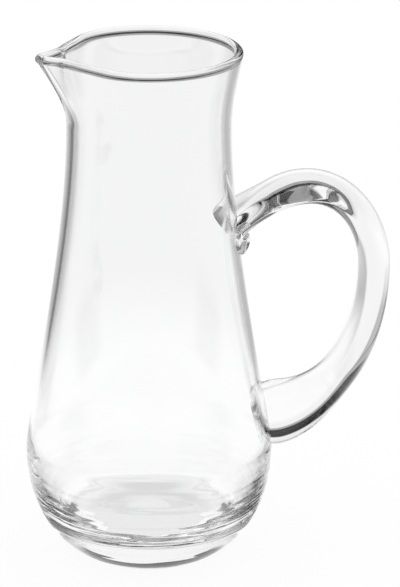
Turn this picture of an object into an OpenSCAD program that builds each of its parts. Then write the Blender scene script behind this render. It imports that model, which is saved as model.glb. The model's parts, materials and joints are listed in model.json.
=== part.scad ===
// Clear glass jug: a blown body with a pulled pouring lip, and a drawn handle applied to it hot.
// Millimetres, +Z up, origin on the axis at the foot, handle towards +X and lip towards -X.

/* [Body] */
// Height from the foot to the top of the rim
jug_h = 252; // [225:1:300]
// Radius of the foot, where the body starts to turn up
foot_r = 27; // [22:0.5:32]
// Outside radius of the belly at its widest
belly_r = 59.3; // [52:0.1:72]
// Height of the widest part of the belly
belly_z = 55; // [46:1:66]
// Outside radius of the neck at its narrowest
neck_r = 38.8; // [34:0.2:44]
// Depth of the narrowest part of the neck below the rim
neck_drop = 37; // [30:1:46]
// Outside radius of the rim bead
rim_r = 44; // [41:0.2:50]

/* [Glass] */
// Wall thickness at the belly
belly_wall = 2.8; // [2.2:0.1:4]
// Wall thickness at the neck
neck_wall = 3.4; // [2.6:0.1:4]
// Diameter of the fire-polished bead on the rim
bead_d = 4.2; // [4:0.1:6]
// Height of the inside floor above the foot
floor_z = 20.5; // [15:0.5:24]
// Height of the kick under the base
kick_h = 0.6; // [0.2:0.1:2]
// Width of the flat ring that the jug stands on
foot_w = 5; // [3:0.5:8]

/* [Pouring lip] */
// How far the lip's tip reaches out past the round rim
lip_reach = 9.8; // [5:0.2:13]
// Height of the pulled glass below the rim
lip_h = 34; // [26:1:37]
// Half of the angle that the lip takes up on the rim
lip_half_angle = 19; // [16:1:26]
// How far the rim is drawn in on each side of the lip
lip_pinch = 2.6; // [0:0.1:4]

/* [Handle] */
// Distance of the handle's centre line from the axis at its farthest
handle_reach = 110.7; // [100:0.1:122]
// Depth of the upper joint's centre below the rim
upper_joint_drop = 89.8; // [84:0.1:100]
// Height of the lower joint's centre above the foot
lower_joint_z = 65.2; // [60:0.1:76]
// Width of the handle across the grip
handle_w = 24; // [20:0.5:30]
// Width of the handle low in the loop, where it is rounder
handle_low_w = 25; // [20:0.5:30]
// Width of the upper joint's pad, which is pressed out along the neck
upper_pad_w = 38; // [30:0.5:42]
// Width of the lower joint's pad
lower_pad_w = 26.5; // [22:0.5:30]
// Thickness of the handle over the top of the loop and at the grip
handle_t = 15.1; // [12:0.1:18]
// Turn of the grip's section about the handle's own line, which the drawing leaves in it
grip_twist = 6; // [0:1:12]
// Thickness of the handle low in the loop, where the gather is heaviest
handle_low_t = 18; // [15:0.1:22]
// Height of the upper joint's pad on the neck
upper_pad_h = 14; // [12:0.5:20]
// Height of the lower joint's pad on the belly
lower_pad_h = 33; // [26:0.5:35]
// Diameter of the sheared tail under the upper joint
tail_d = 11; // [8:0.2:13]
// Length of the tail from the wall to its face
tail_out = 3; // [2:0.2:5]

/* [Hidden] */
$fn = 96;

neck_z = jug_h - neck_drop;
taper_h = neck_z - belly_z;
bead_r = bead_d / 2;
kick_r = foot_r - foot_w;
glass = [0.86, 0.92, 0.92, 0.45];

// Pull of each curve's control points, as shares of the spans that they follow
heel_out_share = 0.21;
heel_up_share = 0.05;
belly_low_share = 0.77;
belly_high_share = 0.06;
neck_low_share = 0.365;
flare_low_share = 0.37;
flare_high_share = 0.27;
floor_flat_share = 0.66;
corner_out_share = 0.56;
corner_up_share = 0.58;
inner_belly_share = 1.06;

// Steps along the curves
heel_steps = 20;
taper_steps = 22;
flare_steps = 10;
bead_steps = 10;
kick_steps = 5;

function bezier(p, t) =
    (1 - t) ^ 3 * p[0] + 3 * (1 - t) ^ 2 * t * p[1] + 3 * (1 - t) * t ^ 2 * p[2] + t ^ 3 * p[3];
function bezier_run(p, steps) = [for (i = [1:steps]) bezier(p, i / steps)];
function clamp_unit(x) = min(1, max(0, x));
function ease(x) = let (u = clamp_unit(x)) u * u * (3 - 2 * u);
function mix(a, b, share) = a + (b - a) * share;

// Outside of the body from the foot to the neck, as radius and height
heel_curve = [
    [foot_r, 0],
    [mix(foot_r, belly_r, heel_out_share), heel_up_share * belly_z],
    [belly_r, (1 - belly_low_share) * belly_z],
    [belly_r, belly_z]
];
taper_curve = [
    [belly_r, belly_z],
    [belly_r, belly_z + belly_high_share * taper_h],
    [neck_r, neck_z - neck_low_share * taper_h],
    [neck_r, neck_z]
];
outside = concat([[foot_r, 0]], bezier_run(heel_curve, heel_steps), bezier_run(taper_curve, taper_steps));

// Inside of the body from the floor to the neck
inner_belly_r = belly_r - belly_wall;
inner_belly_z = inner_belly_share * belly_z;
inner_neck_r = neck_r - neck_wall;
inner_taper_h = neck_z - inner_belly_z;
floor_flat_r = floor_flat_share * inner_belly_r;
corner_curve = [
    [floor_flat_r, floor_z],
    [mix(floor_flat_r, inner_belly_r, corner_out_share), floor_z],
    [inner_belly_r, mix(inner_belly_z, floor_z, corner_up_share)],
    [inner_belly_r, inner_belly_z]
];
inner_taper_curve = [
    [inner_belly_r, inner_belly_z],
    [inner_belly_r, inner_belly_z + belly_high_share * inner_taper_h],
    [inner_neck_r, neck_z - neck_low_share * inner_taper_h],
    [inner_neck_r, neck_z]
];
inside = concat(
    [[0, floor_z], [floor_flat_r, floor_z]],
    bezier_run(corner_curve, heel_steps),
    bezier_run(inner_taper_curve, taper_steps)
);

// Hollow under the base, a shallow bowl from the axis down to the ring of the foot
kick = [
    for (i = [0:kick_steps])
        let (share = i / kick_steps) [share * kick_r, kick_h * (1 - share ^ 2) ^ 2]
];

function wall_r(z) = lookup(z, [for (p = outside) [p[1], p[0]]]);

// Middle of the wall from the neck up to the middle of the bead
flare_curve = [
    [neck_r - neck_wall / 2, neck_z],
    [neck_r - neck_wall / 2, neck_z + flare_low_share * neck_drop],
    [
        mix(rim_r - bead_r, neck_r - neck_wall / 2, flare_high_share),
        mix(jug_h - bead_r, neck_z, flare_high_share)
    ],
    [rim_r - bead_r, jug_h - bead_r]
];

// The lip: a broad pull, a narrow beak that sharpens towards the tip, and a pinch on either side
broad_share = 0.5;
beak_angle_share = 0.3;
soft_angle_share = 0.3;
spread_share = 0.5;
pinch_at_share = 1.9;
pinch_w_share = 1;
rise_power = 1.5;
lip_spread = 3.4;
lip_steps = 22;
round_steps = 36;
turn_step = 0.25;
lip_top = jug_h - bead_r;
lip_start = max(neck_z, jug_h - lip_h);
// Step where the rim's wall grows out of the neck's
seam = 0.1;

// Rise of the lip from 0 at its start to 1 at the bead, slow at first
function lip_rise(z) = clamp_unit((z - lip_start) / (lip_top - lip_start)) ^ rise_power;
// Half angle of the pull, which spreads out below the rim
function pull_angle(rise) = lip_half_angle * (1 + spread_share * (1 - rise));
function broad_pull(a, rise) = abs(a) < pull_angle(rise) ? cos(90 * a / pull_angle(rise)) ^ 2 : 0;
function beak_pull(a, rise) =
    exp(-((a / (pull_angle(rise) * (beak_angle_share + soft_angle_share * (1 - rise)))) ^ 2));
function pinch_pull(a) = exp(-(((abs(a) / lip_half_angle - pinch_at_share) / pinch_w_share) ^ 2));
function lip_pull(a, z) =
    let (rise = lip_rise(z))
    lip_reach * rise * mix(beak_pull(a, rise), broad_pull(a, rise), broad_share)
    - lip_pinch * rise ^ 2 * pinch_pull(a);

// A point on the middle of the wall in plan, and the outward direction there
function plan_point(a, at) = (at[0] + lip_pull(a, at[1])) * [-cos(a), -sin(a)];
function plan_normal(a, at) =
    let (along = plan_point(a + turn_step, at) - plan_point(a - turn_step, at))
    [along[1], -along[0]] / norm(along);
function off_wall(a, at, out, up) =
    let (p = plan_point(a, at) + out * plan_normal(a, at)) [p[0], p[1], at[1] + up];

// Angles round the rim from the lip's tip, closest together at the tip
dense_angle = lip_spread * lip_half_angle;
dense_power = 1.5;
rest_angle = 360 - 2 * dense_angle;
rim_angles = concat(
    [for (i = [-lip_steps:lip_steps]) sign(i) * dense_angle * (abs(i) / lip_steps) ^ dense_power],
    [for (i = [1:round_steps - 1]) dense_angle + i * rest_angle / round_steps]
);
bead_start = -acos(neck_wall / bead_d);
bead_turn = 180 - 2 * bead_start;
bead_angles = [for (i = [0:bead_steps]) bead_start + i * bead_turn / bead_steps];
// The wall runs up to where the bead starts, which is a little below the bead's middle
wall_top_drop = -bead_r * sin(bead_start);

function flare_at(i) =
    let (p = bezier(flare_curve, i / flare_steps))
    [p[0], p[1] - wall_top_drop * (i / flare_steps) ^ 2];
// Wall offsets up one side: a root tucked into the neck's wall, then the full wall up to the bead
function rim_side(a, side) = concat(
    [off_wall(a, flare_at(0), side * neck_wall / 4, -neck_wall)],
    [off_wall(a, flare_at(0), side * (neck_wall / 2 - seam), seam)],
    [for (i = [1:flare_steps - 1]) off_wall(a, flare_at(i), side * neck_wall / 2, 0)]
);
// One closed loop through the wall and the bead at one angle, from the outside root round to the inside one
function rim_section(a) =
    let (inner_side = rim_side(a, -1))
    concat(
        rim_side(a, 1),
        [for (b = bead_angles) off_wall(a, flare_curve[3], bead_r * cos(b), bead_r * sin(b))],
        [for (i = [len(inner_side) - 1:-1:0]) inner_side[i]]
    );

// Triangles between rings of points, each ring joined to the next one
function band_faces(rings, sides, wraps) = [
    for (i = [0:rings - (wraps ? 1 : 2)], j = [0:sides - 1])
        let (
            k = (i + 1) % rings,
            l = (j + 1) % sides,
            a = i * sides + j,
            b = i * sides + l,
            c = k * sides + l,
            d = k * sides + j
        )
        each [[a, b, c], [a, c, d]]
];

module rim_ring() {
    sections = [for (a = rim_angles) rim_section(a)];
    polyhedron(
        points = [for (s = sections) each s],
        faces = band_faces(len(sections), len(sections[0]), true)
    );
}

module body() color(glass) union() {
    rotate_extrude() polygon(concat(kick, outside, [for (i = [len(inside) - 1:-1:0]) inside[i]]));
    rim_ring();
}

// Centre line of the handle in its own plane, in two curves that meet at its farthest point
upper_joint_z = jug_h - upper_joint_drop;
handle_h = upper_joint_z - lower_joint_z;
knee_share = 0.754;
upper_out_share = 0.601;
upper_up_share = 0.417;
upper_knee_share = 0.285;
lower_knee_share = 0.492;
lower_out_share = 0.5;
upper_root = [wall_r(upper_joint_z) - belly_wall, upper_joint_z];
lower_root = [wall_r(lower_joint_z) - belly_wall, lower_joint_z];
knee = [handle_reach, lower_joint_z + knee_share * handle_h];
upper_curve = [
    upper_root,
    upper_root + [upper_out_share * (handle_reach - upper_root[0]), upper_up_share * handle_h],
    knee + [0, upper_knee_share * handle_h],
    knee
];
lower_curve = [
    knee,
    knee - [0, lower_knee_share * handle_h],
    lower_root + [lower_out_share * (handle_reach - lower_root[0]), 0],
    lower_root
];

handle_steps = 46;
handle_sides = 24;
look_ahead = 0.01;
dome_share = 0.333;
sink_share = 0.28;
dome_start_shares = [0.04, 0.15];
dome_end_shares = [0.5, 0.9];
thicken_shares = [0.5, 0.85];
upper_pad_shares = [0, 0.11];
upper_flare_shares = [0, 0.08];
lower_pad_shares = [0.74, 0.97];
upper_turn_shares = [0, 0.18];
lower_turn_shares = [0.88, 1];
pillow_share = 0.16;
pillow_run_share = 0.06;

function handle_at(s) = s < 0.5 ? bezier(upper_curve, 2 * s) : bezier(lower_curve, 2 * s - 1);
function run_share(s, ends) = ease((s - ends[0]) / (ends[1] - ends[0]));
function heading(s) =
    let (
        d = handle_at(min(1, s + look_ahead)) - handle_at(max(0, s - look_ahead)),
        turn = atan2(d[1], d[0])
    )
    s > 0.5 && turn > 0 ? turn - 360 : turn;
function wall_lean(z) = atan2(2 * belly_wall, wall_r(z + belly_wall) - wall_r(z - belly_wall));
// Tilt of a section: square to the centre line in the loop, along the wall at both joints
function section_tilt(s) = mix(
    mix(wall_lean(upper_joint_z), heading(s) + 90, run_share(s, upper_turn_shares)),
    wall_lean(lower_joint_z) - 180,
    run_share(s, lower_turn_shares)
);
function half_thickness(s) =
    let (
        grip = mix(upper_pad_h, handle_t, run_share(s, upper_pad_shares)),
        low = mix(grip, handle_low_t, run_share(s, thicken_shares)),
        swell = mix(low, lower_pad_h, run_share(s, lower_pad_shares))
    )
    swell / 2 * (1 - pillow_share * clamp_unit((s - 1 + pillow_run_share) / pillow_run_share) ^ 2);
function half_width(s) =
    let (
        grip = mix(handle_w, handle_low_w, run_share(s, thicken_shares)),
        flared = mix(upper_pad_w, grip, run_share(s, upper_flare_shares))
    )
    mix(flared, lower_pad_w, run_share(s, lower_pad_shares)) / 2;
// How far a section is domed outside and flat inside: full over the loop, none at the joints
function dome(s) = run_share(s, dome_start_shares) * (1 - run_share(s, dome_end_shares));
// One section: an oval that is domed on the outside and flatter on the side of the fingers, then turned
function handle_section(s) = [
    for (j = [0:handle_sides - 1])
        let (
            turn = 360 * j / handle_sides,
            at = handle_at(s),
            tilt = section_tilt(s),
            twist = grip_twist * dome(s),
            half = cos(turn) > 0 ? 1 : -1,
            rise = half_thickness(s) * ((1 + half * dome_share * dome(s)) * cos(turn) - sink_share * dome(s)),
            wide = half_width(s) * sin(turn),
            out = rise * cos(twist) + wide * sin(twist),
            side = wide * cos(twist) - rise * sin(twist)
        )
        [at[0] + out * cos(tilt), side, at[1] + out * sin(tilt)]
];

module handle_loop() {
    sections = [for (i = [0:handle_steps]) handle_section(i / handle_steps)];
    last = len(sections) * handle_sides;
    polyhedron(
        points = [for (s = sections) each s],
        faces = concat(
            band_faces(len(sections), handle_sides, false),
            [[for (j = [handle_sides - 1:-1:0]) j]],
            [[for (j = [0:handle_sides - 1]) last - handle_sides + j]]
        )
    );
}

// The sheared tail: a short round stub on the pad's lower corner, with a soft edge round its face
tail_z_share = 0.347;
tail_aside = -13;
tail_turn = -28;
tail_tilt = 8;
tail_edge_share = 0.4;
tail_steps = 6;
tail_z = upper_joint_z - tail_z_share * upper_pad_h;
tail_edge = tail_edge_share * tail_d / 2;
tail_back = tail_d;

module tail() {
    rotate([0, 0, tail_aside]) translate([wall_r(tail_z), 0, tail_z])
        rotate([0, 90 + tail_tilt, tail_turn])
            translate([0, 0, tail_out - tail_back])
                rotate_extrude() polygon(concat(
                    [[0, 0], [tail_d / 2, 0]],
                    [
                        for (i = [0:tail_steps])
                            let (
                                turn = 90 * i / tail_steps,
                                inwards = tail_edge * (1 - cos(turn)),
                                back = tail_edge * (1 - sin(turn))
                            )
                            [tail_d / 2 - inwards, tail_back - back]
                    ],
                    [[0, tail_back]]
                ));
}

// Everything inside the outer wall, which the joints are pressed against
module outer_form() {
    rotate_extrude() polygon(concat([[0, 0]], outside, [[0, neck_z]]));
}

module handle() color(glass) difference() {
    union() {
        handle_loop();
        tail();
    }
    outer_form();
}

body();
handle();
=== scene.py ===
# %% [markdown]
# # A clear glass jug
# The jug is blown from one gather of glass, and its handle is drawn from a second one that is pressed on
# while both are hot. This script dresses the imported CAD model: it loads it as the frame, works out both
# pieces again as fine smooth surfaces, gives them glass that bends light, and sets up a white studio.
# A glass piece shows what is around and behind it, so the surfaces and the studio matter more than paint.

# %% Load the frame
import json

import bpy
import numpy as np
from mathutils import Matrix

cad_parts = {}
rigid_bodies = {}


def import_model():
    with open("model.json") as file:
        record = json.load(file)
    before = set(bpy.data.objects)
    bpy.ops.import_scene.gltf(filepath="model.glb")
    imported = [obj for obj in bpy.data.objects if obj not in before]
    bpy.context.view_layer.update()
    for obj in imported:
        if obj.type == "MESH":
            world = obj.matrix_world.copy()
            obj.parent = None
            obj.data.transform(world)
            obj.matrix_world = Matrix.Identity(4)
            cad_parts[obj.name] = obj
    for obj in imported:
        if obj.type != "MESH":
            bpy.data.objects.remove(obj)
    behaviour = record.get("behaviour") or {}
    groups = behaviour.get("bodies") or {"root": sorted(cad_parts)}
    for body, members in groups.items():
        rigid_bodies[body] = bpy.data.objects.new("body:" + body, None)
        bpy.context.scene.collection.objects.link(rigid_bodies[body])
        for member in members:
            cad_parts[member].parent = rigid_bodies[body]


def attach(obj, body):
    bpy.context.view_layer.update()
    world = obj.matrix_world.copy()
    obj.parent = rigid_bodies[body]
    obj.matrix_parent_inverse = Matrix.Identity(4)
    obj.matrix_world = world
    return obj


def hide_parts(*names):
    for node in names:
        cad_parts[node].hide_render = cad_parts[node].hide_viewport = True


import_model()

scene = bpy.context.scene
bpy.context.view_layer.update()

# %% [markdown]
# ## The camera
# The photograph looks down on the jug from about a metre and a half away through a long lens. The camera
# stands on a circle round the jug's axis, tips down, and then turns a little about its own upright, so that
# the axis stays upright in the picture while it moves to the left of the middle. Turning is better than a
# shifted lens here, because a shift would stay when the jug is seen from other sides.

# %% Camera
IMAGE_W, IMAGE_H = 400, 587
FOCAL_PX = 3340
AXIS_PX = 149
SENSOR_MM = 36
camera_azimuth = np.radians(-12)
camera_away, camera_up = 1.5, 0.66317
camera_tip = np.radians(19.52)
camera_turn = np.arctan((IMAGE_W / 2 - AXIS_PX) / FOCAL_PX)
SIGHT_END = 100


def camera_axes(azimuth, tip, turn):
    """Right, up and back of a camera that faces the axis, tips down, then turns right about its own up."""
    level = np.array([-np.sin(azimuth), np.cos(azimuth), 0])
    right = np.array([np.cos(azimuth), np.sin(azimuth), 0])
    ahead = np.cos(tip) * level - np.sin(tip) * np.array([0, 0, 1])
    up = np.cross(right, ahead)
    turned_ahead = np.cos(turn) * ahead + np.sin(turn) * right
    return np.cross(turned_ahead, up), up, -turned_ahead


camera_data = bpy.data.cameras.new("camera")
camera_data.sensor_width = SENSOR_MM
camera_data.lens = SENSOR_MM * FOCAL_PX / IMAGE_H
camera_data.clip_end = SIGHT_END
camera = bpy.data.objects.new("camera", camera_data)
scene.collection.objects.link(camera)
place = np.eye(4)
place[:3, :3] = np.array(camera_axes(camera_azimuth, camera_tip, camera_turn)).T
place[:3, 3] = camera_away * np.sin(camera_azimuth), -camera_away * np.cos(camera_azimuth), camera_up
camera.matrix_world = Matrix(place.tolist())
scene.camera = camera
print("lens mm:", round(camera_data.lens, 1))

# %% [markdown]
# ## Shader sums
# Materials are written as sums on sockets. One small class wraps a socket: an operator adds a Math node, and
# `node` adds a node of any other kind. That keeps each finish readable as a formula.


# %% Socket class
class Socket:
    """A node's output that can be used in Python sums. Each operator adds one Math node to the same tree."""

    def __init__(self, tree, output):
        self.tree, self.output = tree, output

    def node(self, kind, settings=None, inputs=None, output=0):
        """Adds a node: its settings first, then the values or links of its inputs, and wraps one output."""
        made = self.tree.nodes.new(kind)
        for name, value in (settings or {}).items():
            setattr(made, name, value)
        for key, value in (inputs or {}).items():
            if isinstance(value, Socket):
                self.tree.links.new(value.output, made.inputs[key])
            else:
                made.inputs[key].default_value = value
        return Socket(self.tree, made.outputs[output]) if len(made.outputs) else None

    def math(self, operation, a, b):
        return self.node("ShaderNodeMath", {"operation": operation}, {0: a, 1: b})

    def __add__(self, other):
        return self.math("ADD", self, other)

    def __sub__(self, other):
        return self.math("SUBTRACT", self, other)

    def __rsub__(self, other):
        return self.math("SUBTRACT", other, self)

    def __mul__(self, other):
        return self.math("MULTIPLY", self, other)

    __radd__, __rmul__ = __add__, __mul__

    def between(self, low, high, at_low=0.0, at_high=1.0):
        """Smooth step: at_low below low, at_high above high, and a soft S between them."""
        return self.node(
            "ShaderNodeMapRange",
            {"interpolation_type": "SMOOTHSTEP"},
            {"Value": self, "From Min": low, "From Max": high, "To Min": at_low, "To Max": at_high},
        )


def new_tree(owner):
    """Empties a material's or world's node tree and returns a starting socket helper for it."""
    owner.use_nodes = True
    owner.node_tree.nodes.clear()
    return Socket(owner.node_tree, None)


def finish_tree(start, kind, socket):
    """Links a finished shader to the tree's output node."""
    start.node(kind, None, {"Surface": socket})


# %% [markdown]
# ## The studio
# The jug stands on a white sweep that fills the picture. Glass has no colour of its own, so its greys are
# the dim parts of the room, bent into view. The studio is written as the photographer would set it up: a
# white table under soft light, with a few named cards on the sweep and panels in the room, each a soft patch
# at a turn about the jug from the line of sight. The jug's shadow under and beside its foot is painted onto
# the sweep in the same way, as painted shade. Lamps and boards of their own would also stand in the
# picture when the jug is seen from another side. A patch of the sweep's or the room's own light shows only
# in glass, while the camera sees a plain white sweep.

# %% Sweep
FLOOR_DROP = 0.0004
FLOOR_REACH = 20.0


def sweep_shape(reach, height):
    """A square floor of one face, a hair below the foot so that the two never share a plane."""
    corners = reach * np.array([[-1, -1], [1, -1], [1, 1], [-1, 1]])
    return np.c_[corners, np.full(4, height)]


floor_mesh = bpy.data.meshes.new("floor")
floor_mesh.from_pydata(sweep_shape(FLOOR_REACH, -FLOOR_DROP).tolist(), [], [(0, 1, 2, 3)])
floor = bpy.data.objects.new("floor", floor_mesh)
scene.collection.objects.link(floor)
print("sweep reaches", FLOOR_REACH, "m from the axis")

# %% Cards, painted shade and panels
# Each has its turn to the right, half its width and its soft edge in degrees, then its ends and its change
# of light. The four ends are a soft start and a soft finish: for a card or a patch of painted shade in
# metres from the axis, for a panel in degrees above the level. The entries named shade are painted shadow of
# the jug on the sweep's glow, seen only in the glass.
FLOOR_BASE, ROOM_BASE = 1.0, 0.55
floor_cards_and_painted_shade = {
    "even grey behind the jug": (0, 25, 15, (0.25, 0.45, 1.0, 1.4), -0.1),
    "far end of the table": (4, 62, 12, (0.95, 1.3, 30, 40), -0.62),
    "far right end of the table": (30, 16, 10, (0.95, 1.3, 30, 40), -0.25),
    "grey card at the back left": (-42, 24, 3, (0.3, 0.5, 1.0, 1.4), -0.5),
    "dark slat at the back left": (-41, 7, 4, (0.3, 0.5, 1.0, 1.4), -0.34),
    "grey card at the back right": (38, 17, 4, (0.25, 0.42, 1.0, 1.4), -0.48),
    # Painted shade: the jug's shadow beside, under and behind its foot, painted into the sweep's glow.
    "shade left of the foot": (-84, 18, 10, (0.05, 0.07, 0.13, 0.2), -0.7),
    "shade right of the foot": (80, 18, 10, (0.05, 0.07, 0.13, 0.2), -0.75),
    "shade under the jug": (0, 180, 10, (-0.01, 0, 0.03, 0.04), -0.2),
    "shade behind the foot": (0, 60, 30, (0.02, 0.03, 0.042, 0.05), -0.12),
}
room_panels = {
    "gap behind the table": (-4, 38, 10, (-6, -3, 14, 18), -0.55),
    "lit wall at the back": (0, 36, 12, (16, 20, 40, 48), 0.42),
    "dark gap on the left": (-80, 20, 10, (0, 5, 60, 70), -0.4),
    "dark gap on the right": (75, 20, 10, (0, 5, 60, 70), -0.5),
    "dark corner on the left": (-115, 32, 8, (5, 9, 33, 39), -0.55),
    "dark corner on the right": (118, 30, 8, (8, 12, 27, 32), -0.55),
    "light low in front": (180, 55, 15, (-6, -3, 10, 16), 0.24),
    "light on the left wall": (-57, 22, 8, (10, 15, 30, 38), 0.26),
    "dark upper wall on the left": (-92, 36, 12, (36, 42, 90, 90), -0.35),
    "dark ceiling": (0, 180, 10, (52, 60, 90, 90), -0.28),
}


def patch(way, reach, turn, wide, edge, ends):
    """A soft patch: 1 within `wide` degrees of a turn to the right and between its ends along the reach."""
    facing = (0, 0, np.radians(turn) - camera_azimuth)
    faced = way.node("ShaderNodeMapping", None, {"Vector": way, "Rotation": facing})
    right = way.node("ShaderNodeSeparateXYZ", None, {"Vector": faced}, "X")
    ahead = way.node("ShaderNodeSeparateXYZ", None, {"Vector": faced}, "Y")
    aside = way.node("ShaderNodeMath", {"operation": "ABSOLUTE"}, {0: way.math("ARCTAN2", right, ahead)})
    shape = reach.between(ends[0], ends[1])
    if ends[3] > ends[2]:
        shape = shape * reach.between(ends[2], ends[3], 1, 0)
    if wide < 180:
        shape = shape * aside.between(np.radians(wide - edge), np.radians(wide + edge), 1, 0)
    return shape


print("floor cards:", len(floor_cards_and_painted_shade), "room panels:", len(room_panels))

# %% Light of the sweep
# The camera sees a white sweep with a small share of matt paper in it, which keeps the jug's soft shadow.
# Glass sees the sweep glow at its painted level, with the cards and the painted shadow round the foot.
SHADOW_SHARE = 0.06


def white(nodes, kind, level):
    """A mix of no light and white light, so that the level is the mix's factor."""
    lights = [nodes.node(kind, None, {"Color": (1, 1, 1, 1), "Strength": strength}) for strength in (0, 1)]
    return nodes.node("ShaderNodeMixShader", None, {0: level, 1: lights[0], 2: lights[1]})


def ray_kind(nodes, name):
    return nodes.node("ShaderNodeLightPath", None, None, name)


floor_look = bpy.data.materials.new("white_sweep")
nodes = new_tree(floor_look)
spot = nodes.node("ShaderNodeTexCoord", None, None, "Object")
far = nodes.node("ShaderNodeVectorMath", {"operation": "LENGTH"}, {0: spot}, "Value")
level = FLOOR_BASE
for turn, wide, edge, ends, change in floor_cards_and_painted_shade.values():
    level = level + change * patch(spot, far, turn, wide, edge, ends)
seen = ray_kind(nodes, "Is Camera Ray")
paper = nodes.node("ShaderNodeBsdfDiffuse", None, {"Color": (1, 1, 1, 1)})
# Glow that glass sees: the sweep's painted level, with the painted shade round the foot included.
glow = white(nodes, "ShaderNodeEmission", seen + (1 - seen) * level)
matt = SHADOW_SHARE * seen + ray_kind(nodes, "Is Diffuse Ray")
sweep_light = nodes.node("ShaderNodeMixShader", None, {0: matt, 1: glow, 2: paper})
finish_tree(nodes, "ShaderNodeOutputMaterial", sweep_light)
floor_look.cycles.emission_sampling = "NONE"
floor_mesh.materials.append(floor_look)
print("sweep's nodes:", len(nodes.tree.nodes))

# %% Light of the room
# Light runs along inside thick glass for many bounces. With a low limit the upper joint would turn black.
LIGHT_BOUNCES = 96
world = bpy.data.worlds.new("room")
scene.world = world
nodes = new_tree(world)
way = nodes.node("ShaderNodeTexCoord", None, None, "Generated")
rise = nodes.node("ShaderNodeSeparateXYZ", None, {"Vector": way}, "Z")
level = ROOM_BASE
for turn, wide, edge, ends, change in room_panels.values():
    level = level + change * patch(way, rise, turn, wide, edge, np.sin(np.radians(ends)))
plain = ray_kind(nodes, "Is Camera Ray") + ray_kind(nodes, "Is Diffuse Ray")
room_light = white(nodes, "ShaderNodeBackground", plain + (1 - plain) * level)
finish_tree(nodes, "ShaderNodeOutputWorld", room_light)
world.cycles.sampling_method = "NONE"

scene.view_settings.view_transform = "Standard"
scene.cycles.max_bounces = LIGHT_BOUNCES
scene.cycles.transmission_bounces = LIGHT_BOUNCES
scene.cycles.glossy_bounces = LIGHT_BOUNCES
print("room's nodes:", len(nodes.tree.nodes))

# %% [markdown]
# ## The glass
# Clear glass is one shader with full transmission. The real piece is fire-polished but hand-made, so the
# surface keeps a faint waviness, which goes in as a very shallow bump, and a trace of tint that varies.
# Where the handle is fused to the body there is no surface at all. Both pieces are closed there, so the two
# faces that touch get a glass that doesn't bend light.

# %% Glass
GLASS_IOR, AIR_IOR = 1.5, 1.0
FAINT_TINT, NO_TINT = (0.985, 0.99, 0.99, 1), (1, 1, 1, 1)


def glass_look(name, ior, wave_scale, wave_depth):
    """Clear glass: transmission 1, no roughness, a faint tint and a shallow bump from soft noise."""
    look = bpy.data.materials.new(name)
    nodes = new_tree(look)
    spot = nodes.node("ShaderNodeTexCoord", None, None, "Object")
    waves = {"Vector": spot, "Scale": wave_scale, "Detail": 1.0}
    wave = nodes.node("ShaderNodeTexNoise", None, waves, "Fac")
    tints = {"Factor": wave, "A": FAINT_TINT, "B": NO_TINT}
    tint = nodes.node("ShaderNodeMix", {"data_type": "RGBA"}, tints, "Result")
    inputs = {"Base Color": tint, "Roughness": 0.0, "IOR": ior, "Transmission Weight": 1.0}
    if wave_depth:
        bump = {"Height": wave, "Strength": 1.0, "Distance": wave_depth}
        inputs["Normal"] = nodes.node("ShaderNodeBump", None, bump)
    finish_tree(nodes, "ShaderNodeOutputMaterial", nodes.node("ShaderNodeBsdfPrincipled", None, inputs))
    return look


body_glass = glass_look("body_glass", GLASS_IOR, wave_scale=40, wave_depth=0.00001)
handle_glass = glass_look("handle_glass", GLASS_IOR, wave_scale=60, wave_depth=0.00003)
weld_glass = glass_look("weld_glass", AIR_IOR, wave_scale=40, wave_depth=0)
print("glass:", body_glass.name, handle_glass.name, weld_glass.name)

# %% [markdown]
# ## The body's outline
# A blower turns the body, so its shape is one outline carried round the axis: a shallow kick under the base,
# the foot's ring, a round belly, a long taper, a waisted neck and a flare up to the rim. The inside runs
# back down to a thick floor. The curves are cubic Beziers with the same control points as the CAD model.
# The belly and the handle's reach are a hair smaller than in the CAD model, whose facets cut its corners, so
# that the round skins stay inside its box.

# %% Outline
MM = 0.001
jug_h, foot_r, belly_r, belly_z = 252, 27, 59.27, 55
neck_r, neck_drop, rim_r = 38.8, 37, 44
belly_wall, neck_wall, bead_r = 2.8, 3.4, 2.1
floor_z, kick_h, foot_w = 20.5, 0.6, 5
lower_z, upper_z = 65.2, 162.2
heel_out_share, heel_up_share, belly_low_share = 0.21, 0.05, 0.23
belly_high_share, neck_low_share = 0.06, 0.365
flare_low_share, flare_high_share = 0.37, 0.27
inner_belly_share, floor_flat_share, corner_out_share, corner_up_share = 1.06, 0.66, 0.56, 0.58
neck_z = jug_h - neck_drop
taper_h = neck_z - belly_z
kick_r = foot_r - foot_w
inner_belly_r, inner_belly_z = belly_r - belly_wall, inner_belly_share * belly_z
inner_neck_r, inner_taper_h = neck_r - neck_wall, neck_z - inner_belly_z
floor_flat_r = floor_flat_share * inner_belly_r
flare_low_r, flare_top_r, flare_top_z = neck_r - neck_wall / 2, rim_r - bead_r, jug_h - bead_r


def mix(a, b, share):
    return a + (b - a) * share


def bezier(corners, t):
    """Cubic Bezier: the four corners weighted by (1-t)^3, 3(1-t)^2 t, 3(1-t) t^2 and t^3."""
    t = np.asarray(t, float)[:, None]
    p = np.array(corners, float)
    return (1 - t) ** 3 * p[0] + 3 * (1 - t) ** 2 * t * p[1] + 3 * (1 - t) * t ** 2 * p[2] + t ** 3 * p[3]


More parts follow.
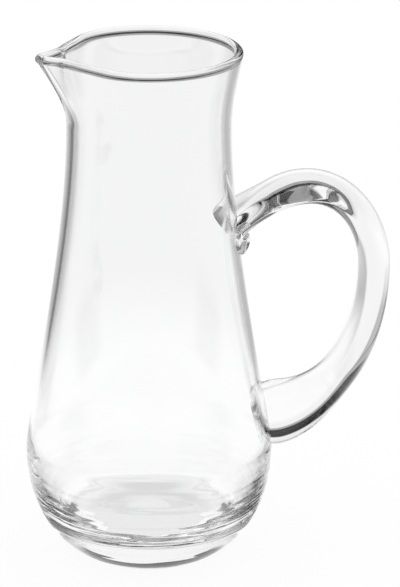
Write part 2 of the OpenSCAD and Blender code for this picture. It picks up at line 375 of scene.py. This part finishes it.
CURVE_STEPS = 1500
FINE = np.linspace(0, 1, CURVE_STEPS)
heel = bezier([
    (foot_r, 0), (mix(foot_r, belly_r, heel_out_share), heel_up_share * belly_z),
    (belly_r, belly_low_share * belly_z), (belly_r, belly_z),
], FINE)
taper = bezier([
    (belly_r, belly_z), (belly_r, belly_z + belly_high_share * taper_h),
    (neck_r, neck_z - neck_low_share * taper_h), (neck_r, neck_z),
], FINE)
outer_wall = np.r_[heel, taper[1:]]
corner = bezier([
    (floor_flat_r, floor_z), (mix(floor_flat_r, inner_belly_r, corner_out_share), floor_z),
    (inner_belly_r, mix(inner_belly_z, floor_z, corner_up_share)), (inner_belly_r, inner_belly_z),
], FINE)
inner_taper = bezier([
    (inner_belly_r, inner_belly_z), (inner_belly_r, inner_belly_z + belly_high_share * inner_taper_h),
    (inner_neck_r, neck_z - neck_low_share * inner_taper_h), (inner_neck_r, neck_z),
], FINE)
flare = [
    (flare_low_r, neck_z), (flare_low_r, neck_z + flare_low_share * neck_drop),
    (mix(flare_top_r, flare_low_r, flare_high_share), mix(flare_top_z, neck_z, flare_high_share)),
    (flare_top_r, flare_top_z),
]


def wall_r(z):
    """Radius of the outer wall at a height, read from its finely sampled curve."""
    return np.interp(z, outer_wall[:, 1], outer_wall[:, 0])


print("outer wall at the joints:", wall_r(np.array([lower_z, upper_z])).round(2))

# %% [markdown]
# ## The pouring lip
# The lip is pulled out of the hot rim with a tool, so the round neck runs into a narrow beak, and the rim
# beside it is drawn in slightly. On the surface this is a push outwards that depends on the angle from the
# lip and on the height. The wall keeps its thickness because both faces are offset from the pushed middle.

# %% Lip
lip_reach, lip_h, lip_half_angle, lip_pinch = 9.8, 34, 19, 2.6
lip_start = jug_h - lip_h
LIP_POWER = 1.5
broad_share, beak_angle_share, soft_angle_share = 0.5, 0.3, 0.3
spread_share, pinch_at_share = 0.5, 1.9
PLAN_STEP = 0.25


def lip_rise(z):
    """0 below the lip and 1 at the bead, slow at first: the share of the way to a power."""
    return np.clip((z - lip_start) / (flare_top_z - lip_start), 0, 1) ** LIP_POWER


def lip_pull(a, z):
    """Push at an angle from the lip: a broad cosine hump and a narrow bell, less a pinch beside them."""
    rise, share = lip_rise(z), np.abs(a) / lip_half_angle
    wide = share / (1 + spread_share * (1 - rise))
    broad = np.cos(np.pi / 2 * np.minimum(wide, 1)) ** 2
    beak = np.exp(-((wide / (beak_angle_share + soft_angle_share * (1 - rise))) ** 2))
    pinch = np.exp(-((share - pinch_at_share) ** 2))
    return lip_reach * rise * mix(beak, broad, broad_share) - lip_pinch * rise ** 2 * pinch


def plan_point(a, r, z):
    """A point of the wall's middle seen from above; angle 0 points along -X, to the lip."""
    pushed = r + lip_pull((a + 180) % 360 - 180, z)
    return np.stack([-pushed * np.cos(np.radians(a)), -pushed * np.sin(np.radians(a))], -1)


def body_point(a, r, z, out, up):
    """Surface point: the pushed middle of the wall, then out along the plan's own normal, then up."""
    along = plan_point(a + PLAN_STEP, r, z) - plan_point(a - PLAN_STEP, r, z)
    along /= np.linalg.norm(along, axis=-1, keepdims=True)
    flat = plan_point(a, r, z) + out[..., None] * np.stack([along[..., 1], -along[..., 0]], -1)
    return np.concatenate([flat, (z + up)[..., None]], -1)


print("lip's tip at mm:", float(plan_point(np.array(0.0), flare_top_r, flare_top_z)[0]) - bead_r)

# %% [markdown]
# ## The body's grid
# The outline becomes rows, and angles round the axis become columns, closest together over the lip. Each row
# says where the wall's middle is and how far out and up the surface lies from it, so that one formula gives
# the walls, the flare and the round bead. A Screw modifier would turn the outline too, but the lip isn't
# round. Rows are also even where the handle is joined.

# %% Rows
KICK_ROWS, FOOT_ROWS, HEEL_ROWS = 14, 4, 56
LOWER_ROWS, GAP_ROWS, UPPER_ROWS, NECK_ROWS = 44, 22, 20, 14
FLARE_ROWS, BEAD_ROWS, INNER_ROWS, CORNER_ROWS, FLOOR_ROWS = 25, 27, 36, 68, 10
lower_span, upper_span = (44, 87), (145, 180)


def even(line, count):
    """A polyline's points at equal steps of its own length."""
    far = np.r_[0, np.cumsum(np.hypot(*np.diff(line, axis=0).T))]
    at = np.linspace(0, far[-1], count)
    return np.c_[np.interp(at, far, line[:, 0]), np.interp(at, far, line[:, 1])]


def rows(points, out=0.0, up=0.0):
    """Rows of the grid as radius, height, offset out and offset up."""
    points = np.asarray(points, float)
    return np.c_[points, np.broadcast_to(out, len(points)), np.broadcast_to(up, len(points))]


def wall_rows(low, high, count):
    """Rows of the outer wall at even heights, without the first, which the rows below already hold."""
    z = np.linspace(low, high, count + 1)[1:]
    return rows(np.c_[wall_r(z), z])


kick_share = np.linspace(0, 1, KICK_ROWS + 1)[1:]
kick_line = np.c_[kick_share * kick_r, kick_h * (1 - kick_share ** 2) ** 2]
foot_line = np.c_[np.linspace(kick_r, foot_r, FOOT_ROWS + 2)[1:-1], np.zeros(FOOT_ROWS)]
heel_line = even(outer_wall[outer_wall[:, 1] <= lower_span[0]], HEEL_ROWS + 1)
flare_t = np.linspace(0, 1, FLARE_ROWS + 2)[1:-1]
bead_from = -np.arccos(neck_wall / 2 / bead_r)
bead_turn = np.linspace(bead_from, np.pi - bead_from, BEAD_ROWS)
flare_line = bezier(flare, flare_t) - np.c_[np.zeros(FLARE_ROWS), -bead_r * np.sin(bead_from) * flare_t ** 2]
bead_line = np.repeat([flare[3]], BEAD_ROWS, 0)
inner_line = even(inner_taper, INNER_ROWS)[::-1]
corner_line = even(corner, CORNER_ROWS + 1)[::-1][1:]
floor_line = np.c_[np.linspace(floor_flat_r, 0, FLOOR_ROWS + 2)[1:-1], np.full(FLOOR_ROWS, floor_z)]
body_rows = np.r_[
    rows(kick_line), rows(foot_line), rows(heel_line),
    wall_rows(*lower_span, LOWER_ROWS), wall_rows(lower_span[1], upper_span[0], GAP_ROWS),
    wall_rows(*upper_span, UPPER_ROWS), wall_rows(upper_span[1], neck_z, NECK_ROWS),
    rows(flare_line, neck_wall / 2),
    rows(bead_line, bead_r * np.cos(bead_turn), bead_r * np.sin(bead_turn)),
    rows(flare_line[::-1], -neck_wall / 2),
    rows(inner_line), rows(corner_line), rows(floor_line),
]
heel_first = KICK_ROWS + FOOT_ROWS
lower_first = heel_first + HEEL_ROWS
upper_first = lower_first + LOWER_ROWS + GAP_ROWS
corner_first = len(body_rows) - FLOOR_ROWS - CORNER_ROWS
print("rows:", len(body_rows), "joints from rows", lower_first, "and", upper_first)

# %% Columns
LIP_COLUMNS, ROUND_COLUMNS = 40, 176
dense_angle_share, DENSE_POWER = 3.4, 1.5
dense_angle = dense_angle_share * lip_half_angle
lip_fan = dense_angle * (np.arange(LIP_COLUMNS + 1) / LIP_COLUMNS) ** DENSE_POWER
rest = np.linspace(dense_angle, 360 - dense_angle, ROUND_COLUMNS + 1)
columns = np.r_[lip_fan, rest[1:-1], 360 - lip_fan[:0:-1]]
back_column = int(np.argmin(np.abs(columns - 180)))
r, z, out, up = (body_rows[:, [i]] + 0 * columns for i in range(4))
body_grid = body_point(columns + 0 * r, r, z, out, up)
print("body grid:", body_grid.shape[:2], "back column at", columns[back_column])

# %% [markdown]
# ## Ripples in the base
# The thick base of a blown jug sets last, so it keeps faint rings from the turning tool, which wander as
# they go round. They are less than a tenth of a millimetre high, but the thick glass turns them into the
# dark and light streaks at the heel. The rows of the heel and of the inside corner are pushed along their
# own normals.

# %% Ripples
INNER_RIPPLE, OUTER_RIPPLE = 0.05, 0.015
inner_fades, outer_fades = (24, 10), (8, 22)
coarse_gap, fine_gap, fine_share = 6.1, 3.7, 0.6
slow_wander, quick_wander, fine_wander = (1.2, 3), (0.7, 7), (1.5, 5, 1)


def soft_step(x):
    """Soft step from 0 to 1: 3u^2 - 2u^3 with u held between 0 and 1."""
    u = np.clip(x, 0, 1)
    return u * u * (3 - 2 * u)


def wander(angle, size, waves, start=0):
    """Shift of a ring's phase at an angle: a sine with a whole number of waves round the jug."""
    return size * np.sin(waves * angle + start)


def ripple(line, height, fades):
    """Push along a line's normal: a coarse and a fine sine of the length along it, whose phases wander with
    the angle, faded at both ends."""
    far = np.r_[0, np.cumsum(np.hypot(*np.diff(line, axis=0).T))][:, None]
    angle = np.radians(columns)
    coarse_phase = 2 * np.pi * far / coarse_gap + wander(angle, *slow_wander) + wander(angle, *quick_wander)
    fine_phase = 2 * np.pi * far / fine_gap + wander(angle, *fine_wander)
    rings = np.sin(coarse_phase) + fine_share * np.sin(fine_phase)
    fade = soft_step(far / fades[0]) * soft_step((far[-1] - far) / fades[1])
    push = (height * fade * rings)[..., None]
    ahead = np.gradient(line, axis=0)
    normal = np.c_[ahead[:, 1], -ahead[:, 0]] / np.hypot(*ahead.T)[:, None]
    around = np.stack([-np.cos(angle), -np.sin(angle), 0 * angle], -1)
    return push * (normal[:, None, :1] * around + normal[:, None, 1:] * np.array([0, 0, 1]))


body_grid[heel_first:heel_first + HEEL_ROWS + 1] += ripple(heel_line, OUTER_RIPPLE, outer_fades)
body_grid[corner_first:corner_first + CORNER_ROWS] += ripple(corner_line, INNER_RIPPLE, inner_fades)
print("ripples on rows from", heel_first, "and from", corner_first)

# %% [markdown]
# ## The handle's line
# The handle is drawn from the lower joint, up and over to the neck. Its centre line is two Beziers that meet
# at the farthest point. Sections stand square to that line in the loop and turn along the wall at both ends,
# where they also swell into the pads. A bevelled curve would carry one section all the way, so each section
# is worked out for its place instead. Places on the line are shares of its run, from 0 at the upper joint to
# 1 at the lower one.

# %% Handle line
handle_reach = 110.62
handle_h = upper_z - lower_z
knee_share, upper_knee_share, lower_knee_share = 0.754, 0.285, 0.492
upper_out_share, upper_up_share, lower_out_share = 0.601, 0.417, 0.5
upper_root = np.array([wall_r(upper_z) - belly_wall, upper_z])
lower_root = np.array([wall_r(lower_z) - belly_wall, lower_z])
knee = np.array([handle_reach, lower_z + knee_share * handle_h])
upper_curve = [
    upper_root,
    upper_root + [upper_out_share * (handle_reach - upper_root[0]), upper_up_share * handle_h],
    knee + [0, upper_knee_share * handle_h], knee,
]
lower_curve = [
    knee, knee - [0, lower_knee_share * handle_h],
    lower_root + [lower_out_share * (handle_reach - lower_root[0]), 0], lower_root,
]


def handle_at(s):
    """Centre line: the upper curve for the first half of s and the lower curve for the second."""
    return np.where((s < 0.5)[:, None], bezier(upper_curve, 2 * s), bezier(lower_curve, 2 * s - 1))


LINE_STEPS = 4001
path_s = np.linspace(0, 1, LINE_STEPS)
path_xz = handle_at(path_s)
outside_wall = path_s[path_xz[:, 0] > wall_r(path_xz[:, 1])]
root_s = outside_wall[[0, -1]]
pad_z = handle_at(root_s)[:, 1]
print("handle leaves the wall at shares", root_s.round(3), "heights", pad_z.round(1))

# %% Handle sections
handle_w, handle_low_w, upper_pad_w, lower_pad_w = 24, 25, 38, 26.5
handle_t, handle_low_t, upper_pad_h, lower_pad_h = 15.1, 18, 14, 33
grip_twist = np.radians(6)
dome_share, sink_share = 0.333, 0.28
dome_start_shares, dome_end_shares, thicken_shares = (0.04, 0.15), (0.5, 0.9), (0.5, 0.85)
upper_pad_shares, upper_flare_shares, lower_pad_shares = (0, 0.11), (0, 0.08), (0.74, 0.97)
upper_turn_shares, lower_turn_shares = (0, 0.18), (0.88, 1)
pillow_share, pillow_start_share, pillow_run_share = 0.16, 0.94, 0.06
HEADING_STEP = 0.01


def run(s, ends):
    """Soft step from 0 to 1 between two places on the line."""
    return soft_step((s - ends[0]) / (ends[1] - ends[0]))


def wall_lean(z):
    """Angle of the wall's own slope above +X, from a chord over a few millimetres."""
    return np.arctan2(2 * belly_wall, wall_r(z + belly_wall) - wall_r(z - belly_wall))


def section_tilt(s):
    """Square to the centre line in the loop, along the wall at both joints."""
    ahead = handle_at(np.minimum(s + HEADING_STEP, 1)) - handle_at(np.maximum(s - HEADING_STEP, 0))
    heading = np.unwrap(np.arctan2(ahead[:, 1], ahead[:, 0]))
    tilt = mix(wall_lean(upper_z), heading + np.pi / 2, run(s, upper_turn_shares))
    return mix(tilt, wall_lean(lower_z) - np.pi, run(s, lower_turn_shares))


def half_thickness(s):
    """Half of the thickness: even over the top and the grip, heavier low down, then the lower pad."""
    thick = mix(upper_pad_h, handle_t, run(s, upper_pad_shares))
    thick = mix(thick, handle_low_t, run(s, thicken_shares))
    thick = mix(thick, lower_pad_h, run(s, lower_pad_shares))
    return thick / 2 * (1 - pillow_share * np.clip((s - pillow_start_share) / pillow_run_share, 0, 1) ** 2)


def half_width(s):
    """Half of the width: the upper pad flares along the neck, and the rest is nearly even."""
    wide = mix(handle_w, handle_low_w, run(s, thicken_shares))
    wide = mix(upper_pad_w, wide, run(s, upper_flare_shares))
    return mix(wide, lower_pad_w, run(s, lower_pad_shares)) / 2


def dome(s):
    """How far a section is domed outside and flat inside: full over the loop, none at the joints."""
    return run(s, dome_start_shares) * (1 - run(s, dome_end_shares))


def handle_point(s, turn):
    """Sections: an oval, domed outside and flatter on the fingers' side, turned about the line."""
    at, tilt, full = handle_at(s), section_tilt(s)[:, None], dome(s)[:, None]
    stretch = 1 + dome_share * full * np.where(np.cos(turn) > 0, 1, -1)
    rise = half_thickness(s)[:, None] * (stretch * np.cos(turn) - sink_share * full)
    wide = half_width(s)[:, None] * np.sin(turn)
    twist = grip_twist * full
    out = rise * np.cos(twist) + wide * np.sin(twist)
    side = wide * np.cos(twist) - rise * np.sin(twist)
    return np.stack([at[:, :1] + out * np.cos(tilt), side, at[:, 1:] + out * np.sin(tilt)], -1)


print("pads' half heights mm:", half_thickness(root_s).round(2))

# %% [markdown]
# ## Where the handle meets the wall
# The pads lie on the round wall, so their edge is a closed loop drawn on it. A block of the body's grid
# round each pad is taken out and filled again with rings: from the block's edge to the pad's loop, and from
# the loop to its middle. The handle's end uses the same points, so that the two pieces touch without a gap.

# %% Joint loops
UPPER_COLUMNS, LOWER_COLUMNS = 52, 28


def block_loop(first_row, n_rows, n_columns, from_top):
    """Row and column numbers round a block's edge, from the middle of its top or bottom towards +Y."""
    half = n_columns // 2
    near, far = (first_row + n_rows, first_row) if from_top else (first_row, first_row + n_rows)
    step = 1 if far > near else -1
    row_run = np.arange(near, far, step)
    right, left = back_column + half, back_column - half
    row = np.r_[
        np.full(half, near), row_run, np.full(n_columns, far),
        row_run[::-1] + step, np.full(half, near),
    ]
    col = np.r_[
        np.arange(back_column, right), np.full(n_rows, right), np.arange(right, left, -1),
        np.full(n_rows, left), np.arange(left, back_column),
    ]
    return row, col


def loop_turn(loop, centre_z, half_h, half_w, sign):
    """Angle of each loop point round the pad, 0 on the handle's outer side, in shares of the pad's size."""
    row, col = loop
    side = np.radians(columns[col] - 180) * wall_r(centre_z) / half_w
    rise = sign * (body_rows[row, 1] - centre_z) / half_h
    return np.unwrap(np.arctan2(side, rise))


upper_loop = block_loop(upper_first, UPPER_ROWS, UPPER_COLUMNS, True)
lower_loop = block_loop(lower_first, LOWER_ROWS, LOWER_COLUMNS, False)
upper_turn = loop_turn(upper_loop, pad_z[0], half_thickness(root_s)[0], upper_pad_w / 2, 1)
lower_turn = loop_turn(lower_loop, pad_z[1], half_thickness(root_s)[1], lower_pad_w / 2, -1)
SIDES = len(upper_turn)
print("loop points:", SIDES, len(lower_turn), "turns:", upper_turn[[0, -1]], lower_turn[[0, -1]])

# %% Handle grid
HANDLE_ROWS = 170
crowd_share, pad_blend_share = 0.11, 0.07
spread = np.linspace(0, 1, HANDLE_ROWS)
spread = spread - crowd_share * np.sin(2 * np.pi * spread)
handle_s = mix(root_s[0], root_s[1], spread)
turns = mix(upper_turn, lower_turn, soft_step(spread)[:, None])
handle_grid = handle_point(handle_s, turns)


def onto_wall(ring):
    """Distance along X from each point of a ring to the round wall at its own height."""
    return np.sqrt(wall_r(ring[:, 2]) ** 2 - ring[:, 1] ** 2) - ring[:, 0]


near_upper = 1 - run(handle_s, (root_s[0], root_s[0] + pad_blend_share))
near_lower = run(handle_s, (root_s[1] - pad_blend_share, root_s[1]))
handle_grid[..., 0] += onto_wall(handle_grid[0]) * near_upper[:, None]
handle_grid[..., 0] += onto_wall(handle_grid[-1]) * near_lower[:, None]
print("handle grid:", handle_grid.shape[:2])
print("handle box:", handle_grid.min((0, 1)).round(1), handle_grid.max((0, 1)).round(1))

# %% [markdown]
# ## Meshes
# Both pieces are put together from blocks of quads: a grid's cells, rings round a loop and a fan at a pole.
# Points that no face uses are dropped, so that each mesh is one closed skin.

# %% Mesh helpers
COLLAR_RINGS, DISC_RINGS = 7, 8


def cells(index):
    """Quads of a grid of point numbers whose last column meets its first, facing out for rising rows."""
    right = np.roll(index, -1, 1)
    return np.stack([index[:-1], right[:-1], right[1:], index[1:]], -1).reshape(-1, 4)


def pole_fan(pole, ring):
    """Triangles from a pole's number to each step of a closed ring of numbers."""
    return np.c_[np.full(len(ring), pole), ring, np.roll(ring, -1)]


def ring_numbers(first_ring, rings, start):
    """Point numbers of a known first ring and of the rings that follow it, counted from a start."""
    return np.r_[first_ring[None], start + np.arange(len(rings) * SIDES).reshape(-1, SIDES)]


def wall_rings(inner, outer, shares):
    """Points on the wall between two loops given as angle and height, one ring for each share of the way."""
    at = inner + np.asarray(shares)[:, None, None] * (outer - inner)
    angle, height = np.radians(at[..., 0]), at[..., 1]
    return np.stack([-wall_r(height) * np.cos(angle), -wall_r(height) * np.sin(angle), height], -1)


def joint_patch(ring, loop, centre_z):
    """Rings of wall points: from the block's edge to the pad's loop, and from the loop to its middle."""
    row, col = loop
    edge = np.c_[columns[col], body_rows[row, 1]]
    pad = np.c_[180 + np.degrees(np.arctan2(ring[:, 1], ring[:, 0])), ring[:, 2]]
    middle = np.repeat([[180.0, centre_z]], len(ring), 0)
    collar = wall_rings(edge, pad, np.linspace(0, 1, COLLAR_RINGS + 1)[1:])
    return collar, wall_rings(pad, middle, np.linspace(0, 1, DISC_RINGS + 2)[1:-1])


def build(name, points, faces, weld, looks):
    """Makes a mesh object in metres from points in millimetres. Blocks marked 1 take the second look."""
    used = np.unique(np.concatenate([block.ravel() for block in faces]))
    number = np.full(len(points), -1)
    number[used] = np.arange(len(used))
    corners = [face for block in faces for face in number[block].tolist()]
    marks = np.concatenate([np.full(len(block), mark) for block, mark in zip(faces, weld)])
    mesh = bpy.data.meshes.new(name)
    mesh.from_pydata((points[used] * MM).tolist(), [], corners)
    mesh.polygons.foreach_set("material_index", marks.astype(np.int32))
    for look in looks:
        mesh.materials.append(look)
    mesh.shade_smooth()
    piece = bpy.data.objects.new(name, mesh)
    scene.collection.objects.link(piece)
    return piece


# %% Body mesh
# The last value of each joint is the order in which its faces' corners run, so that they face out.
n_rows, n_columns = body_grid.shape[:2]
index = np.arange(n_rows * n_columns).reshape(n_rows, n_columns)
keep = np.ones((n_rows - 1, n_columns), bool)
blocks = (upper_first, UPPER_ROWS, UPPER_COLUMNS), (lower_first, LOWER_ROWS, LOWER_COLUMNS)
for first, height, width in blocks:
    keep[first:first + height, back_column - width // 2:back_column + width // 2] = False
kick_pole, floor_pole = n_rows * n_columns, n_rows * n_columns + 1
body_points = [body_grid.reshape(-1, 3), [[0, 0, kick_h], [0, 0, floor_z]]]
body_faces = [
    cells(index)[keep.ravel()],
    pole_fan(kick_pole, index[0])[:, [0, 2, 1]], pole_fan(floor_pole, index[-1]),
]
body_weld = [0, 0, 0]
discs = []
count = floor_pole + 1
for ring, loop, centre_z, order in (
    (handle_grid[0], upper_loop, pad_z[0], -1), (handle_grid[-1], lower_loop, pad_z[1], 1),
):
    collar, disc = joint_patch(ring, loop, centre_z)
    collar_index = ring_numbers(index[loop], collar, count)
    count += collar.shape[0] * SIDES
    disc_index = ring_numbers(collar_index[-1], disc, count)
    count += disc.shape[0] * SIDES
    middle = np.array([[wall_r(centre_z), 0, centre_z]])
    joint_faces = cells(collar_index), cells(disc_index), pole_fan(count, disc_index[-1])
    count += 1
    body_points += [collar.reshape(-1, 3), disc.reshape(-1, 3), middle]
    body_faces += [block[:, ::order] for block in joint_faces]
    body_weld += [0, 1, 1]
    discs.append((disc, middle))
body = build("body_glass", np.concatenate(body_points), body_faces, body_weld, [body_glass, weld_glass])
print("body:", len(body.data.vertices), "points,", len(body.data.polygons), "faces")

# %% Handle mesh
index = np.arange(HANDLE_ROWS * SIDES).reshape(HANDLE_ROWS, SIDES)
handle_points = [handle_grid.reshape(-1, 3)]
handle_faces = [cells(index)[:, ::-1]]
handle_weld = [0]
count = HANDLE_ROWS * SIDES
for (disc, middle), ring, order in zip(discs, (index[0], index[-1]), (1, -1)):
    disc_index = ring_numbers(ring, disc, count)
    count += disc.shape[0] * SIDES
    end_faces = cells(disc_index), pole_fan(count, disc_index[-1])
    count += 1
    handle_points += [disc.reshape(-1, 3), middle]
    handle_faces += [block[:, ::order] for block in end_faces]
    handle_weld += [1, 1]
handle_points = np.concatenate(handle_points)
handle = build("handle_glass", handle_points, handle_faces, handle_weld, [handle_glass, weld_glass])
print("handle:", len(handle.data.vertices), "points,", len(handle.data.polygons), "faces")

# %% [markdown]
# ## The sheared tail
# The handle's last bit of hot glass is cut off with shears, which leaves a small round button on the upper
# pad's corner, towards the viewer. It is a star-shaped skin: seen from a point inside, each direction meets
# the flat face, the round side or the wall behind, and a soft minimum of the three rounds the edges. A
# Boolean then unites it with the handle, because a skin left inside the glass would show.

# %% Tail
TAIL_ROWS, TAIL_COLUMNS = 60, 96
tail_r, tail_out, tail_seat, tail_gap = 5.5, 3.0, 1.0, 0.08
tail_drop_share = 0.347
tail_z = upper_z - tail_drop_share * upper_pad_h
tail_aside, tail_turn, tail_tip = np.radians([-13, -41, 8])
EDGE_POWER = 8


def unit(turn, rise):
    """Direction with a turn about the upright and a rise above the level."""
    return np.array([np.cos(turn) * np.cos(rise), np.sin(turn) * np.cos(rise), np.sin(rise)])


def tail_skin(row_count, column_count):
    """Reach from the seat along each direction: the summed powers of 1 over each limit, to minus 1 over
    the power. Also says where the wall behind is the nearest limit."""
    ahead, aside = unit(tail_turn, -tail_tip), unit(tail_turn + np.pi / 2, 0)
    wall_out = unit(tail_aside, np.pi / 2 - wall_lean(tail_z))
    seat = wall_r(tail_z) * unit(tail_aside, 0) + [0, 0, tail_z] + tail_seat * ahead
    polar = np.radians(np.linspace(0, 180, row_count))[:, None]
    turn = np.linspace(0, 2 * np.pi, column_count, False)
    way = np.cos(polar)[..., None] * ahead + (np.sin(polar) * np.cos(turn))[..., None] * aside
    way = way + (np.sin(polar) * np.sin(turn))[..., None] * np.cross(ahead, aside)
    face = np.maximum(way @ ahead, 0) / (tail_out - tail_seat)
    side = np.sqrt(np.maximum(1 - (way @ ahead) ** 2, 0)) / tail_r
    back = np.maximum(-(way @ wall_out), 0) / (tail_seat * (ahead @ wall_out) - tail_gap)
    reach = (face ** EDGE_POWER + side ** EDGE_POWER + back ** EDGE_POWER) ** (-1 / EDGE_POWER)
    return seat + reach[..., None] * way, back > np.maximum(face, side)


tail_grid, tail_fused = tail_skin(TAIL_ROWS, TAIL_COLUMNS)
index = np.arange(TAIL_ROWS * TAIL_COLUMNS).reshape(TAIL_ROWS, TAIL_COLUMNS)
index[0], index[-1] = index[0, 0], index[-1, 0]
front_tip, sides, back_tip = np.split(cells(index)[:, ::-1], [TAIL_COLUMNS, -TAIL_COLUMNS])
fused = tail_fused.ravel()[sides].all(1)
tail_faces = [front_tip[:, :3], sides[~fused], sides[fused], back_tip[:, [0, 2, 3]]]
tail = build("tail", tail_grid.reshape(-1, 3), tail_faces, [0, 0, 1, 1], [handle_glass, weld_glass])
print("tail:", len(tail.data.vertices), "points at height mm", round(tail_z, 1))

# %% Fuse the tail to the handle
SHARP_ANGLE = np.radians(35)
joined = handle.modifiers.new("tail", "BOOLEAN")
joined.operation, joined.solver, joined.object = "UNION", "EXACT", tail
bpy.context.view_layer.update()
whole = bpy.data.meshes.new_from_object(handle.evaluated_get(bpy.context.evaluated_depsgraph_get()))
handle.modifiers.clear()
handle.data = whole
bpy.data.objects.remove(tail)
whole.shade_smooth()
whole.set_sharp_from_angle(angle=SHARP_ANGLE)
print("handle with tail:", len(whole.vertices), "points,", len(whole.polygons), "faces")

# %% [markdown]
# ## Put the pieces in the frame
# Each piece stands for its CAD node, which is hidden. Nothing moves on a jug, so both
# ride on the one body of the frame.

# %% Frame
for piece, node, slot in ((body, "body", "body_glass"), (handle, "handle", "handle_glass")):
    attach(piece, "root")
    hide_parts(node)
